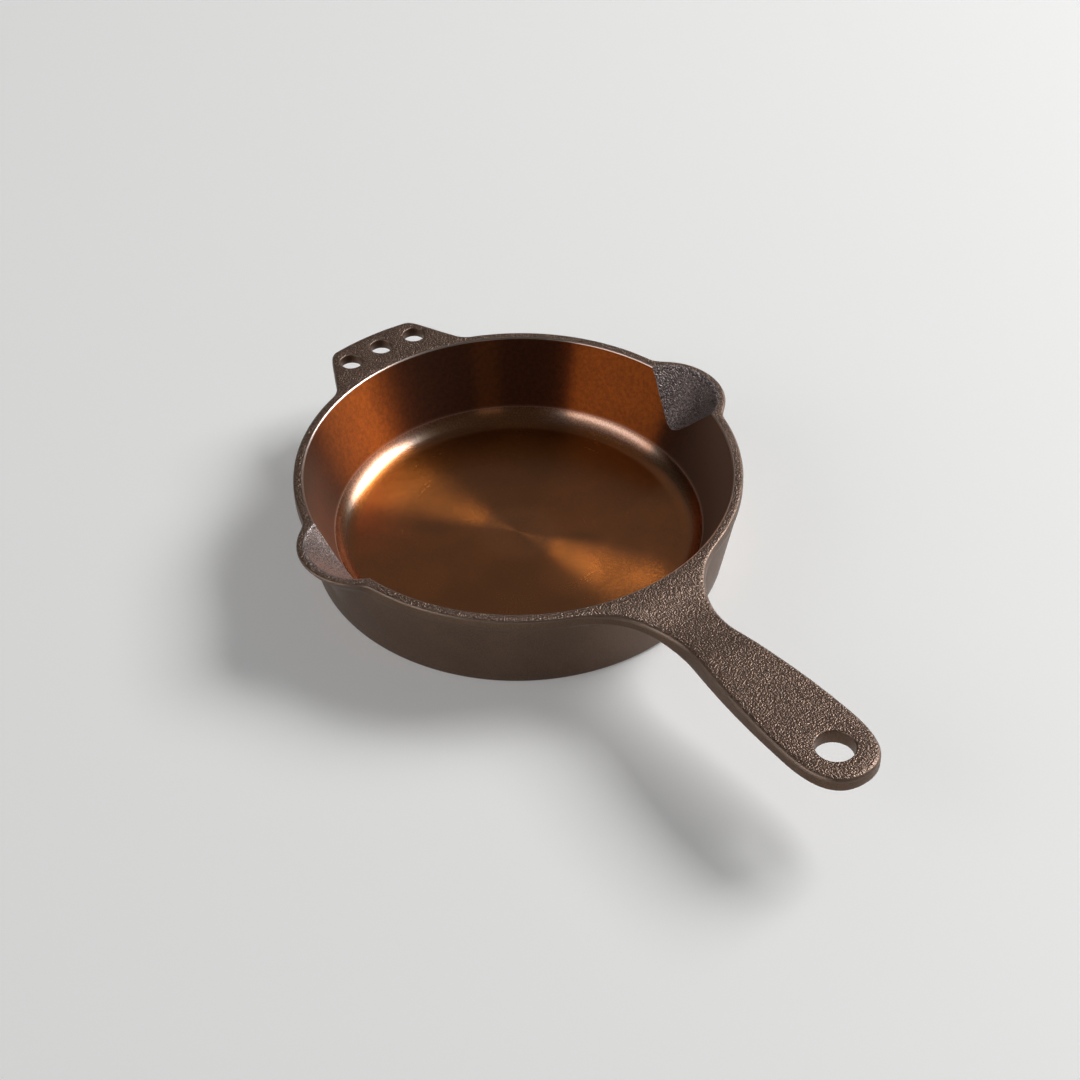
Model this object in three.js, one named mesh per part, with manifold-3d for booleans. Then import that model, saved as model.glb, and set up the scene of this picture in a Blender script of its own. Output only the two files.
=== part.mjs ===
// A cast-iron skillet: a shallow round pan with a long handle, a short helper handle opposite it and a
// pour spout on each side. It is one pour of iron, modelled as the regions of its casting pattern.
// Millimetres, +Z up. The origin is the centre of the underside and +X runs along the handle.
import * as THREE from "three";
import { mergeVertices } from "three/addons/utils/BufferGeometryUtils.js";
import Module from "manifold-3d";

// Pan
const RIM_RADIUS = 83; // outside of the rim
const PAN_HEIGHT = 35.5; // underside to the top of the rim
const WALL_SPREAD = 6; // how much further out the rim is than the foot of the outer wall
const BASE_EDGE_RADIUS = 2.5; // rounding between outer wall and underside
const RIM_WIDTH = 3.6; // flat land on top of the rim
const RIM_EDGE_CHAMFER = 0.8; // outer edge of the land
const INNER_EDGE_CHAMFER = 0.5; // inner edge of the land
const COLLAR_HEIGHT = 5; // band under the rim, as deep as the handle's root
const COLLAR_PROUD = 0.6; // how far the band stands out from the wall
const COLLAR_BLEND = 1.5; // height over which the wall comes out to the band
const FLOOR_THICKNESS = 3.4;
const WALL_FOOT_WIDTH = 10.7; // wall at the level of the floor, without the cove
const COVE_RADIUS = 9; // rounding between floor and inner wall

// Pour spouts
const SPOUT_NOSE_REACH = 9.3; // lip's nose beyond the rim
const SPOUT_NOSE_RADIUS = 23; // lip's outline, seen from above
const SPOUT_LIP_WIDTH = 3.1; // land on top of the lip
const SPOUT_DEPTH = 17.2; // rim to the point of the channel on the inner wall
const SPOUT_POINT_RADIUS = 5.6; // roundness of that point
const SPOUT_LIP_LEAN = 0.65; // how far the lip's nose draws in per millimetre down
const SPOUT_LIP_TAPER = 0.68; // how much the lip's radius shrinks per millimetre down
const SPOUT_SHOULDER = 1; // plain wall kept on each side of the lip

// Handle
const HANDLE_LENGTH = 107.8; // rim to tip
const HANDLE_ROOT_WIDTH = 67.6; // across the root, where its sides leave the rim
const HANDLE_FLARE_RUN = 15; // how far a side pulls along the rim's own direction there
const HANDLE_NECK_RUN = 18; // how far it pulls along the neck
const HANDLE_NECK_WIDTH = 19.8;
const HANDLE_NECK_REACH = 28; // rim to the narrowest point
const HANDLE_GRIP_WIDTH = 30.4;
const HANDLE_GRIP_INSET = 22.8; // tip to the widest point of the grip
const HANDLE_THICKNESS = 6; // at the grip
const HANDLE_NECK_UNDERSIDE = 8.1; // rim down to the underside of the neck
const HANDLE_DIP = 1.4; // hollow of the top behind the rim
const HANDLE_DIP_REACH = 17; // rim to the lowest point of the hollow
const HANDLE_LEVEL_REACH = 42; // rim to where the top is level again
const HANDLE_TIP_FULLNESS = 10.5; // half-width that the tip's curve starts to close from
const HANG_HOLE_DIAMETER = 14;
const HANG_HOLE_INSET = 15; // tip to the centre of the hole

// Easing of the handle's outline: shares of the stretch that each curve runs over
const SWELL_START = 0.1; // how long the neck stays narrow
const SWELL_END = 0.5; // how early the grip reaches its width
const TIP_EASE = 0.66; // how long the grip keeps its width towards the tip

// Helper handle
const HELPER_LENGTH = 18; // rim to the outer edge
const HELPER_ROOT_WIDTH = 58.6;
const HELPER_TIP_WIDTH = 37;
const HELPER_CORNER = 6.5; // rounding of the outer corners
const HELPER_THICKNESS = 4.2;
const HELPER_HOLE_DIAMETER = 9;
const HELPER_HOLE_REACH = 8.9; // rim to the row of holes
const HELPER_HOLE_SPACING = 14.7; // along the row

const SEAM = 0.3; // clearance between regions that meet on a curved face
const MARGIN = 10; // how far cutting shapes run past what they cut

const ROUND_SEGMENTS = 80; // round the pan
const SPOUT_SEGMENTS = 48;
const HOLE_SEGMENTS = 24;
const CURVE_POINTS = 10; // along each curve of an outline
const FILLET_POINTS = 6;

const wasm = await Module();
wasm.setup();

// Solids: a closed geometry as a solid that can be cut and joined, and back to a named mesh
function solid(geometry) {
  const bare = geometry.clone();
  bare.deleteAttribute("normal");
  bare.deleteAttribute("uv");
  const merged = mergeVertices(bare);
  return new wasm.Manifold(
    new wasm.Mesh({
      numProp: 3,
      vertProperties: merged.attributes.position.array,
      triVerts: new Uint32Array(merged.index.array),
    }),
  );
}

function meshOf(name, body, material) {
  const { vertProperties, triVerts } = body.getMesh();
  const geometry = new THREE.BufferGeometry();
  geometry.setAttribute("position", new THREE.BufferAttribute(vertProperties, 3));
  geometry.setIndex(new THREE.BufferAttribute(triVerts, 1));
  geometry.computeVertexNormals();
  const mesh = new THREE.Mesh(geometry, material);
  mesh.name = name;
  return mesh;
}

function turned(profile) {
  return solid(new THREE.LatheGeometry(profile, ROUND_SEGMENTS).rotateX(Math.PI / 2));
}

function extruded(shape, height, curveSegments = CURVE_POINTS) {
  return new THREE.ExtrudeGeometry(shape, { depth: height, bevelEnabled: false, curveSegments });
}

function block(minX, maxX, minY, maxY, minZ, maxZ) {
  const box = new THREE.BoxGeometry(maxX - minX, maxY - minY, maxZ - minZ);
  return solid(box.translate((minX + maxX) / 2, (minY + maxY) / 2, (minZ + maxZ) / 2));
}

// Wall lines: radius of the straight outer and inner wall at a height
const collarFoot = PAN_HEIGHT - COLLAR_HEIGHT;
const baseRadius = RIM_RADIUS - WALL_SPREAD;
const outerSlope = (WALL_SPREAD - COLLAR_PROUD) / collarFoot;
const outerRadius = (z) => baseRadius + outerSlope * z;
const innerRimRadius = RIM_RADIUS - RIM_WIDTH;
const innerFootRadius = outerRadius(FLOOR_THICKNESS) - WALL_FOOT_WIDTH;
const innerSlope = (innerRimRadius - innerFootRadius) / (PAN_HEIGHT - FLOOR_THICKNESS);
const innerRadius = (z) => innerFootRadius + innerSlope * (z - FLOOR_THICKNESS);

// A rounding between a level line at the given height and a wall that rises from foot with a slope
function fillet(foot, height, slope, radius) {
  const draft = Math.atan(slope);
  const centreR = foot + radius * slope - radius / Math.cos(draft);
  const points = [];
  for (let i = 0; i <= FILLET_POINTS; i++) {
    const angle = -Math.PI / 2 + (i / FILLET_POINTS) * (Math.PI / 2 - draft);
    const r = centreR + radius * Math.cos(angle);
    const z = height + radius + radius * Math.sin(angle);
    points.push(new THREE.Vector2(r, z));
  }
  return points;
}

const baseEdge = fillet(baseRadius, 0, outerSlope, BASE_EDGE_RADIUS);
const cove = fillet(innerFootRadius, FLOOR_THICKNESS, innerSlope, COVE_RADIUS);
const partingHeight = cove.at(-1).y; // the wall regions stand on the base where the cove ends

// Pan base: the floor with its cove and the foot of the wall
function panBase() {
  return turned([
    new THREE.Vector2(0, 0),
    ...baseEdge,
    new THREE.Vector2(outerRadius(partingHeight), partingHeight),
    ...cove.toReversed(),
    new THREE.Vector2(0, FLOOR_THICKNESS),
  ]);
}

// Side wall: a ring with the collar and the flat land of the rim
function wallRing() {
  const profile = [
    new THREE.Vector2(outerRadius(partingHeight), partingHeight),
    new THREE.Vector2(outerRadius(collarFoot), collarFoot),
    new THREE.Vector2(RIM_RADIUS, collarFoot + COLLAR_BLEND),
    new THREE.Vector2(RIM_RADIUS, PAN_HEIGHT - RIM_EDGE_CHAMFER),
    new THREE.Vector2(RIM_RADIUS - RIM_EDGE_CHAMFER, PAN_HEIGHT),
    new THREE.Vector2(innerRimRadius + INNER_EDGE_CHAMFER, PAN_HEIGHT),
    new THREE.Vector2(innerRimRadius, PAN_HEIGHT - INNER_EDGE_CHAMFER),
    new THREE.Vector2(innerRadius(partingHeight), partingHeight),
  ];
  return turned([...profile, profile[0].clone()]);
}

// The space inside the pan above the parting, which keeps the spouts' lips out of it
function cavity() {
  const top = PAN_HEIGHT + MARGIN;
  return turned([
    new THREE.Vector2(0, partingHeight - MARGIN),
    new THREE.Vector2(innerRadius(partingHeight - MARGIN), partingHeight - MARGIN),
    new THREE.Vector2(innerRadius(PAN_HEIGHT), PAN_HEIGHT),
    new THREE.Vector2(innerRadius(PAN_HEIGHT), top),
    new THREE.Vector2(0, top),
  ]);
}

// A slanting cone with level circular sections: its nose, the point furthest out, follows a straight line
function slantingCone(bottom, top, radiusAt, noseAt) {
  const height = top - bottom;
  const cone = new THREE.CylinderGeometry(radiusAt(top), radiusAt(bottom), height, SPOUT_SEGMENTS);
  const centreAt = (z) => noseAt(z) - radiusAt(z);
  const lean = (centreAt(top) - centreAt(bottom)) / height;
  cone.rotateX(Math.PI / 2).translate(0, 0, height / 2);
  cone.applyMatrix4(new THREE.Matrix4().makeShear(0, 0, 0, 0, 0, lean));
  return solid(cone.translate(0, centreAt(bottom), bottom));
}

const spoutHalfSpan = SPOUT_NOSE_RADIUS + SPOUT_SHOULDER;

// Pour spout at +Y: the wall between two planes, drawn out to a lip and hollowed by a channel
function pourSpout(ring) {
  const pointHeight = PAN_HEIGHT - SPOUT_DEPTH;
  const noseAtRim = RIM_RADIUS + SPOUT_NOSE_REACH;
  const channelNoseAtRim = noseAtRim - SPOUT_LIP_WIDTH;
  const channelRadiusAtRim = SPOUT_NOSE_RADIUS - SPOUT_LIP_WIDTH;
  const noseSlope = (channelNoseAtRim - innerRadius(pointHeight)) / SPOUT_DEPTH;
  const radiusSlope = (channelRadiusAtRim - SPOUT_POINT_RADIUS) / SPOUT_DEPTH;
  const channelNose = (z) => channelNoseAtRim + noseSlope * (z - PAN_HEIGHT);
  const channelRadius = (z) => channelRadiusAtRim + radiusSlope * (z - PAN_HEIGHT);
  const lipNose = (z) => noseAtRim + SPOUT_LIP_LEAN * (z - PAN_HEIGHT);
  const lipRadius = (z) => SPOUT_NOSE_RADIUS + SPOUT_LIP_TAPER * (z - PAN_HEIGHT);
  const lip = slantingCone(partingHeight, PAN_HEIGHT, lipRadius, lipNose);
  const channelFoot = pointHeight - 1; // inside the pan's own space
  const channel = slantingCone(channelFoot, PAN_HEIGHT + MARGIN, channelRadius, channelNose);
  const far = noseAtRim + MARGIN;
  const stretch = block(-spoutHalfSpan, spoutHalfSpan, 0, far, partingHeight, PAN_HEIGHT);
  return ring.add(lip.subtract(cavity())).subtract(channel).intersect(stretch);
}

// The round space that the handles' roots stop at
function panEnvelope() {
  const height = PAN_HEIGHT + 2 * MARGIN;
  const radius = RIM_RADIUS + SEAM;
  const round = new THREE.CylinderGeometry(radius, radius, height, ROUND_SEGMENTS);
  return solid(round.rotateX(Math.PI / 2).translate(0, 0, PAN_HEIGHT / 2));
}

function roundHole(x, y, diameter) {
  const hole = new THREE.CylinderGeometry(diameter / 2, diameter / 2, PAN_HEIGHT, HOLE_SEGMENTS);
  return solid(hole.rotateX(Math.PI / 2).translate(x, y, PAN_HEIGHT));
}

// Handle: its outline from above, crossed with its side view
function handlePlan() {
  const rootAngle = Math.asin(HANDLE_ROOT_WIDTH / 2 / RIM_RADIUS);
  const rootX = RIM_RADIUS * Math.cos(rootAngle);
  const rootY = RIM_RADIUS * Math.sin(rootAngle);
  const flareX = rootX + HANDLE_FLARE_RUN * Math.sin(rootAngle);
  const flareY = rootY - HANDLE_FLARE_RUN * Math.cos(rootAngle);
  const neckX = RIM_RADIUS + HANDLE_NECK_REACH;
  const tipX = RIM_RADIUS + HANDLE_LENGTH;
  const gripX = tipX - HANDLE_GRIP_INSET;
  const neck = HANDLE_NECK_WIDTH / 2;
  const grip = HANDLE_GRIP_WIDTH / 2;
  const swellStart = (gripX - neckX) * SWELL_START;
  const swellEnd = (gripX - neckX) * SWELL_END;
  const tipRun = (tipX - gripX) * TIP_EASE;
  const side = new THREE.CurvePath();
  const bend = (x0, y0, x1, y1, x2, y2, x3, y3) =>
    side.add(
      new THREE.CubicBezierCurve(
        new THREE.Vector2(x0, y0),
        new THREE.Vector2(x1, y1),
        new THREE.Vector2(x2, y2),
        new THREE.Vector2(x3, y3),
      ),
    );
  bend(rootX, rootY, flareX, flareY, neckX - HANDLE_NECK_RUN, neck, neckX, neck);
  bend(neckX, neck, neckX + swellStart, neck, gripX - swellEnd, grip, gripX, grip);
  bend(gripX, grip, gripX + tipRun, grip, tipX, HANDLE_TIP_FULLNESS, tipX, 0);
  const upper = side.getPoints(CURVE_POINTS);
  const lower = upper.slice(0, -1).map((p) => new THREE.Vector2(p.x, -p.y));
  return new THREE.Shape([new THREE.Vector2(0, 0), ...lower, ...upper.toReversed()]);
}

function handleProfile() {
  const rimX = RIM_RADIUS;
  const dipX = rimX + HANDLE_DIP_REACH;
  const levelX = rimX + HANDLE_LEVEL_REACH;
  const neckX = rimX + HANDLE_NECK_REACH;
  const tipX = rimX + HANDLE_LENGTH;
  const gripX = tipX - HANDLE_GRIP_INSET;
  const endX = tipX + MARGIN;
  const top = PAN_HEIGHT;
  const dip = top - HANDLE_DIP;
  const rootUnder = top - COLLAR_HEIGHT;
  const neckUnder = top - HANDLE_NECK_UNDERSIDE;
  const gripUnder = top - HANDLE_THICKNESS;
  const half = (a, b) => (a + b) / 2;
  const shape = new THREE.Shape();
  shape.moveTo(0, top);
  shape.lineTo(0, rootUnder);
  shape.lineTo(rimX, rootUnder);
  shape.bezierCurveTo(half(rimX, neckX), rootUnder, half(rimX, neckX), neckUnder, neckX, neckUnder);
  shape.bezierCurveTo(half(neckX, gripX), neckUnder, half(neckX, gripX), gripUnder, gripX, gripUnder);
  shape.lineTo(endX, gripUnder);
  shape.lineTo(endX, top);
  shape.lineTo(levelX, top);
  shape.bezierCurveTo(half(levelX, dipX), top, half(levelX, dipX), dip, dipX, dip);
  shape.bezierCurveTo(half(dipX, rimX), dip, half(dipX, rimX), top, rimX, top);
  shape.closePath();
  return shape;
}

function handle() {
  const width = HANDLE_ROOT_WIDTH + HANDLE_GRIP_WIDTH;
  const plan = solid(extruded(handlePlan(), PAN_HEIGHT + MARGIN));
  const profile = extruded(handleProfile(), width).rotateX(Math.PI / 2).translate(0, width / 2, 0);
  const hole = roundHole(RIM_RADIUS + HANDLE_LENGTH - HANG_HOLE_INSET, 0, HANG_HOLE_DIAMETER);
  return plan.intersect(solid(profile)).subtract(panEnvelope()).subtract(hole);
}

// Helper handle: a flat tab, narrower outwards, with its outer edge on a circle round the pan
function helperPlan() {
  const edge = RIM_RADIUS + HELPER_LENGTH;
  const root = HELPER_ROOT_WIDTH / 2;
  const tip = HELPER_TIP_WIDTH / 2;
  const rootPoint = new THREE.Vector2(-Math.sqrt(RIM_RADIUS ** 2 - root ** 2), root);
  const corner = new THREE.Vector2(-Math.sqrt(edge ** 2 - tip ** 2), tip);
  const sideEnd = corner.clone().add(rootPoint.clone().sub(corner).setLength(HELPER_CORNER));
  const edgeAngle = Math.asin(tip / edge) - HELPER_CORNER / edge;
  const shape = new THREE.Shape();
  shape.moveTo(0, root);
  shape.lineTo(rootPoint.x, rootPoint.y);
  shape.lineTo(sideEnd.x, sideEnd.y);
  const edgeX = -edge * Math.cos(edgeAngle);
  const edgeY = edge * Math.sin(edgeAngle);
  shape.quadraticCurveTo(corner.x, corner.y, edgeX, edgeY);
  shape.absarc(0, 0, edge, Math.PI - edgeAngle, Math.PI + edgeAngle, false);
  shape.quadraticCurveTo(corner.x, -corner.y, sideEnd.x, -sideEnd.y);
  shape.lineTo(rootPoint.x, -rootPoint.y);
  shape.lineTo(0, -root);
  shape.closePath();
  return shape;
}

function helperHandle() {
  const bottom = PAN_HEIGHT - HELPER_THICKNESS;
  const plate = solid(extruded(helperPlan(), HELPER_THICKNESS).translate(0, 0, bottom));
  const row = RIM_RADIUS + HELPER_HOLE_REACH;
  const step = HELPER_HOLE_SPACING / row;
  const holes = [-1, 0, 1].map((i) => {
    const angle = Math.PI + i * step;
    return roundHole(row * Math.cos(angle), row * Math.sin(angle), HELPER_HOLE_DIAMETER);
  });
  return holes.reduce((body, hole) => body.subtract(hole), plate.subtract(panEnvelope()));
}

// The skillet
const iron = (color, roughness) =>
  new THREE.MeshStandardMaterial({ color, roughness, metalness: 0.9 });

const ring = wallRing();
const far = RIM_RADIUS + MARGIN;
const front = block(spoutHalfSpan, far, -far, far, 0, PAN_HEIGHT + MARGIN);
const rear = block(-far, -spoutHalfSpan, -far, far, 0, PAN_HEIGHT + MARGIN);
const rightSpout = pourSpout(ring);

const skillet = new THREE.Group();
skillet.name = "skillet";
skillet.add(meshOf("pan_base", panBase(), iron(0x7a5c40, 0.35)));
skillet.add(meshOf("front_wall", ring.intersect(front), iron(0x54432f, 0.5)));
skillet.add(meshOf("rear_wall", ring.intersect(rear), iron(0x54432f, 0.5)));
skillet.add(meshOf("right_pour_spout", rightSpout, iron(0x4b3c2d, 0.65)));
const leftSpout = meshOf("left_pour_spout", rightSpout, iron(0x4b3c2d, 0.65));
leftSpout.rotation.z = Math.PI;
skillet.add(leftSpout);
skillet.add(meshOf("handle", handle(), iron(0x4b3c2d, 0.65)));
skillet.add(meshOf("helper_handle", helperHandle(), iron(0x4b3c2d, 0.65)));

export default skillet;
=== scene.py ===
import math

import bmesh
import bpy
from mathutils import Matrix, Vector
from mathutils.geometry import delaunay_2d_cdt


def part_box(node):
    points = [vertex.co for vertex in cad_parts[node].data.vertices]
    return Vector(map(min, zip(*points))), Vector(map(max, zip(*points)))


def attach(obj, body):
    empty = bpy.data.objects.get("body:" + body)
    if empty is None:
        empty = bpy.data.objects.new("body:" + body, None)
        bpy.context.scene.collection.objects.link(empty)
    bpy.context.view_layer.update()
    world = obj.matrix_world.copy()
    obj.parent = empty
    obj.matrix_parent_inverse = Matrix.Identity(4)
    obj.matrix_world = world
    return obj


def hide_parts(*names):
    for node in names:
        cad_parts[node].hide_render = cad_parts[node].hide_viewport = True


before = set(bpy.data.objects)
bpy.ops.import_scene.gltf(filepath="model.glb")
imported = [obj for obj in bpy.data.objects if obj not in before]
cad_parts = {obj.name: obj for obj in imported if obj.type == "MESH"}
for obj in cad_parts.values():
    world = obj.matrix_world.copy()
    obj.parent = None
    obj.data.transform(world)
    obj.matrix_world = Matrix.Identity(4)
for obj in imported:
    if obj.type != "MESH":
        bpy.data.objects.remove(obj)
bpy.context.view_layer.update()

mm = 0.001  # shapes are worked out in millimetres and made in metres
roughFinish, satinFinish, polishedFinish, channelFinish = 0, 1, 2, 3  # material slots of every piece


def reach(node, axis, end):
    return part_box(node)[end][axis] / mm  # lowest (0) or highest (1) coordinate of a CAD node


pan = {
    "rim": reach("front_wall", 0, 1),  # outer radius
    "height": reach("front_wall", 2, 1),
    "spread": 6.0,  # how much further out the rim is than the foot of the wall
    "rimWidth": 3.6,  # flat land on top
    "outerEdge": 1.0,  # rounding of the land's outer edge
    "innerEdge": 0.45,  # polished rounding of its inner edge
    "collar": 5.5,  # band under the rim
    "collarBlend": 2.5,  # height over which the wall swells into it
    "collarProud": 0.6,
    "baseEdge": 2.0,
    "floor": 3.4,
    "wallFoot": 10.7,  # wall thickness at floor level
    "cove": 9.0,  # rounding between floor and wall
    "skirt": 12.0,  # below this far under the rim the rows of the wall run level
}
spout = {
    "nose": reach("right_pour_spout", 1, 1),
    "radius": 23.0,  # of the lip, from above
    "lip": 3.1,  # thickness at the rim
    "skin": 1.9,  # thickness further down
    "lipHeight": 9.0,  # depth by which the lip has thinned to the skin
    "lipBlend": 6.0,
    "lean": 0.64,  # how fast the outside of the lip draws in, per millimetre down
    "taper": 0.68,  # how fast its radius shrinks
    "depth": 17.2,  # rim to the point of the channel
    "point": 5.6,  # roundness of that point
    "edge": 1.1,  # rounding from lip to channel
    "blend": 3.0,  # how softly the lip grows out of the wall
    "zone": math.radians(22),  # half the stretch of wall whose columns make room for the channel
    "sideColumns": 10,
    "channelColumns": 12,  # on each side of the middle
}


def smoothMax(a, b, soft):
    h = max(soft - abs(a - b), 0) / soft
    return max(a, b) + h * h * soft / 4


def smoothMin(a, b, soft):
    return -smoothMax(-a, -b, soft)


def ease(t):
    t = min(max(t, 0), 1)
    return t * t * (3 - 2 * t)


def mix(a, b, t):
    return a + (b - a) * t


def polar(radius, angle, z):
    return (radius * math.cos(angle), radius * math.sin(angle), z)


def rounding(edge, below):
    if below >= edge:
        return 0
    return edge - math.sqrt(edge ** 2 - (edge - below) ** 2)  # how far a rounded edge has drawn back


# Pan: wall lines
top = pan["height"]
footRadius = pan["rim"] - pan["spread"]
outerSlope = (pan["spread"] - pan["collarProud"]) / (top - pan["collar"])
innerFoot = footRadius + outerSlope * pan["floor"] - pan["wallFoot"]
innerSlope = (pan["rim"] - pan["rimWidth"] - innerFoot) / (top - pan["floor"])
landEdge = pan["rim"] - pan["outerEdge"]  # radius where the flat land starts to round off


def wallRadius(z):
    line = footRadius + outerSlope * z
    return mix(line, pan["rim"], ease((z - top + pan["collar"]) / pan["collarBlend"]))


def innerRadius(z):
    return innerFoot + innerSlope * (z - pan["floor"])


def filletArc(foot, height, slope, radius, steps):
    draft = math.atan(slope)
    centre = foot + radius * slope - radius / math.cos(draft)
    turn = math.pi / 2 - draft
    angles = [-math.pi / 2 + turn * i / steps for i in range(steps + 1)]
    return [(centre + radius * math.cos(a), height + radius + radius * math.sin(a)) for a in angles]


# Pour spouts: level circles that widen towards the lip
channelRadiusTop = spout["radius"] - spout["lip"]
channelNoseTop = spout["nose"] - spout["lip"]
pointHeight = top - spout["depth"]
radiusSlope = (channelRadiusTop - spout["point"]) / spout["depth"]
noseSlope = (channelNoseTop - innerRadius(pointHeight)) / spout["depth"]


def levelCircle(z, taper, lean):
    radius = channelRadiusTop + taper * (z - top)
    nose = channelNoseTop + lean * (z - top)
    return nose - radius, radius  # distance of its centre from the pan's axis, and its radius


def channelCircle(z):
    return levelCircle(z, radiusSlope, noseSlope)


def circleReach(centre, radius, offset):
    inside = radius ** 2 - (centre * math.sin(offset)) ** 2
    if radius <= 0 or inside < 0 or math.cos(offset) <= 0:
        return -1e3
    return centre * math.cos(offset) + math.sqrt(inside)


def spoutOffset(angle):
    return abs(abs(angle) - math.pi / 2)  # angle from the nearer spout's middle


def bodyRadius(angle, z):
    centre, radius = levelCircle(min(z + pan["outerEdge"], top), spout["taper"], spout["lean"])
    share = ease((z - top + spout["lipHeight"]) / spout["lipBlend"])
    lip = circleReach(centre, radius + mix(spout["skin"], spout["lip"], share), spoutOffset(angle))
    return smoothMax(wallRadius(z), lip, spout["blend"])


def channelHalfAngle(z):
    centre, radius = channelCircle(z)
    wall = innerRadius(z)
    along = (wall ** 2 - radius ** 2 + centre ** 2) / (2 * centre)
    return math.acos(min(along / wall, 1))


# A skin collects faces from many patches and welds the points that they share
class Skin:
    def __init__(self):
        self.points = []
        self.known = {}
        self.faces = []  # (point numbers, piece, finish)

    def point(self, p):
        key = tuple(round(c, 4) for c in p)
        if key not in self.known:
            self.known[key] = len(self.points)
            self.points.append(p)
        return self.known[key]

    def numbers(self, corners):
        found = [self.point(p) for p in corners]
        return [n for i, n in enumerate(found) if n != found[i - 1]]

    def face(self, corners, piece, finish):
        ring = self.numbers(corners)
        if len(set(ring)) > 2:
            self.faces.append((ring, piece, finish))

    def sheet(self, rows, piece, finish, closed=False):
        for low, high in zip(rows, rows[1:]):
            count = len(low)
            for i in range(count if closed else count - 1):
                j = (i + 1) % count
                self.face((low[i], low[j], high[j], high[i]), piece, finish)

    def fan(self, ring, centre, piece, finish):
        for a, b in zip(ring, ring[1:] + ring[:1]):
            self.face((a, b, centre), piece, finish)

    def fill(self, outline, holes, heightAt, spacing, piece, finish):
        loops = [outline] + holes
        fixed = [p for loop in loops for p in loop]
        edges = []
        start = 0
        for loop in loops:
            edges += [(start + i, start + (i + 1) % len(loop)) for i in range(len(loop))]
            start += len(loop)
        spare = gridInside(outline, holes, spacing)
        flat = [Vector(p[:2]) for p in fixed] + [Vector(p) for p in spare]
        made, _, faces, origins, _, _ = delaunay_2d_cdt(flat, edges, [], 0, 1e-6)
        corners = []
        for v, origin in zip(made, origins):
            known = [i for i in origin if i < len(fixed)]
            corners.append(fixed[known[0]] if known else (v.x, v.y, heightAt(v.x, v.y)))
        for tri in faces:
            x = sum(made[i].x for i in tri) / len(tri)
            y = sum(made[i].y for i in tri) / len(tri)
            if within(x, y, outline) and not any(within(x, y, hole) for hole in holes):
                self.face([corners[i] for i in tri], piece, finish)


def within(x, y, loop):
    inside = False
    for (x0, y0, *_), (x1, y1, *_) in zip(loop, loop[1:] + loop[:1]):
        if (y0 > y) != (y1 > y) and x < x0 + (y - y0) * (x1 - x0) / (y1 - y0):
            inside = not inside
    return inside


def gapTo(x, y, loop):
    best = 1e9
    for (x0, y0, *_), (x1, y1, *_) in zip(loop, loop[1:] + loop[:1]):
        dx, dy = x1 - x0, y1 - y0
        t = min(max(((x - x0) * dx + (y - y0) * dy) / max(dx * dx + dy * dy, 1e-12), 0), 1)
        best = min(best, math.hypot(x - x0 - t * dx, y - y0 - t * dy))
    return best


gridClearance = 0.6  # spare points keep this share of their spacing from the outline


def gridInside(outline, holes, spacing):
    xs = [p[0] for p in outline]
    ys = [p[1] for p in outline]
    points = []
    row = 0
    y = min(ys)
    while y < max(ys):
        x = min(xs) + (spacing / 2 if row % 2 else 0)
        while x < max(xs):
            clear = all(gapTo(x, y, loop) > spacing * gridClearance for loop in [outline] + holes)
            if clear and within(x, y, outline) and not any(within(x, y, h) for h in holes):
                points.append((x, y))
            x += spacing
        y += spacing * math.sqrt(3) / 2
        row += 1
    return points


skin = Skin()
caps = {"pan_body": [], "long_handle": [], "helper_tab": []}  # faces in the metal that close each piece


# Plates: the handle and the helper handle grow out of the collar
handle = {
    "tip": reach("handle", 0, 1),
    "rootHalf": 33.8,  # half the width where the sides leave the rim
    "flareRun": 15.0,
    "neckRun": 18.0,
    "neckX": pan["rim"] + 28.0,
    "neckHalf": 9.9,
    "gripInset": 22.8,  # tip to the widest point
    "gripHalf": 15.2,
    "swellStart": 0.1,
    "swellEnd": 0.5,
    "tipEase": 0.66,
    "tipFullness": 10.5,
    "thickness": 6.0,
    "neckUnder": 8.1,  # rim down to the underside of the neck
    "rootUnder": 5.2,
    "dip": 1.4,  # hollow of the top behind the rim
    "dipX": pan["rim"] + 17.0,
    "levelX": pan["rim"] + 42.0,
    "topEdge": 1.7,
    "bottomEdge": 1.5,
    "fillet": 4.0,  # between underside and wall
    "holeInset": 15.0,
    "holeRadius": 6.9,
    "holeEdge": 0.6,
    "holeWaist": 0.15,  # the hole narrows to its middle
    "step": 1.5,  # spacing of points along the outline
    "curveSteps": 60,
}
helper = {
    "edge": -reach("helper_handle", 0, 0),  # outer edge's distance from the pan's axis
    "rootHalf": 29.3,
    "tipHalf": 18.5,
    "corner": 3.5,  # softness of the outer corners
    "rootBlend": 3.0,
    "zone": math.radians(23.5),
    "thickness": 4.2,
    "topEdge": 1.2,
    "bottomEdge": 1.1,
    "fillet": 2.5,
    "holeRadius": 4.3,
    "holeEdge": 0.4,
    "holeWaist": 0.3,
    "holeRow": pan["rim"] + 8.9,
    "holeSpacing": 14.7,
    "step": 1.2,
    "curveSteps": 400,
}
handleZone = math.asin(handle["rootHalf"] / pan["rim"])


def bezier(p0, p1, p2, p3, steps):
    points = []
    for i in range(steps):
        t = i / steps
        weights = ((1 - t) ** 3, 3 * t * (1 - t) ** 2, 3 * t * t * (1 - t), t ** 3)
        points.append(tuple(sum(w * p[c] for w, p in zip(weights, (p0, p1, p2, p3))) for c in (0, 1)))
    return points


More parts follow.
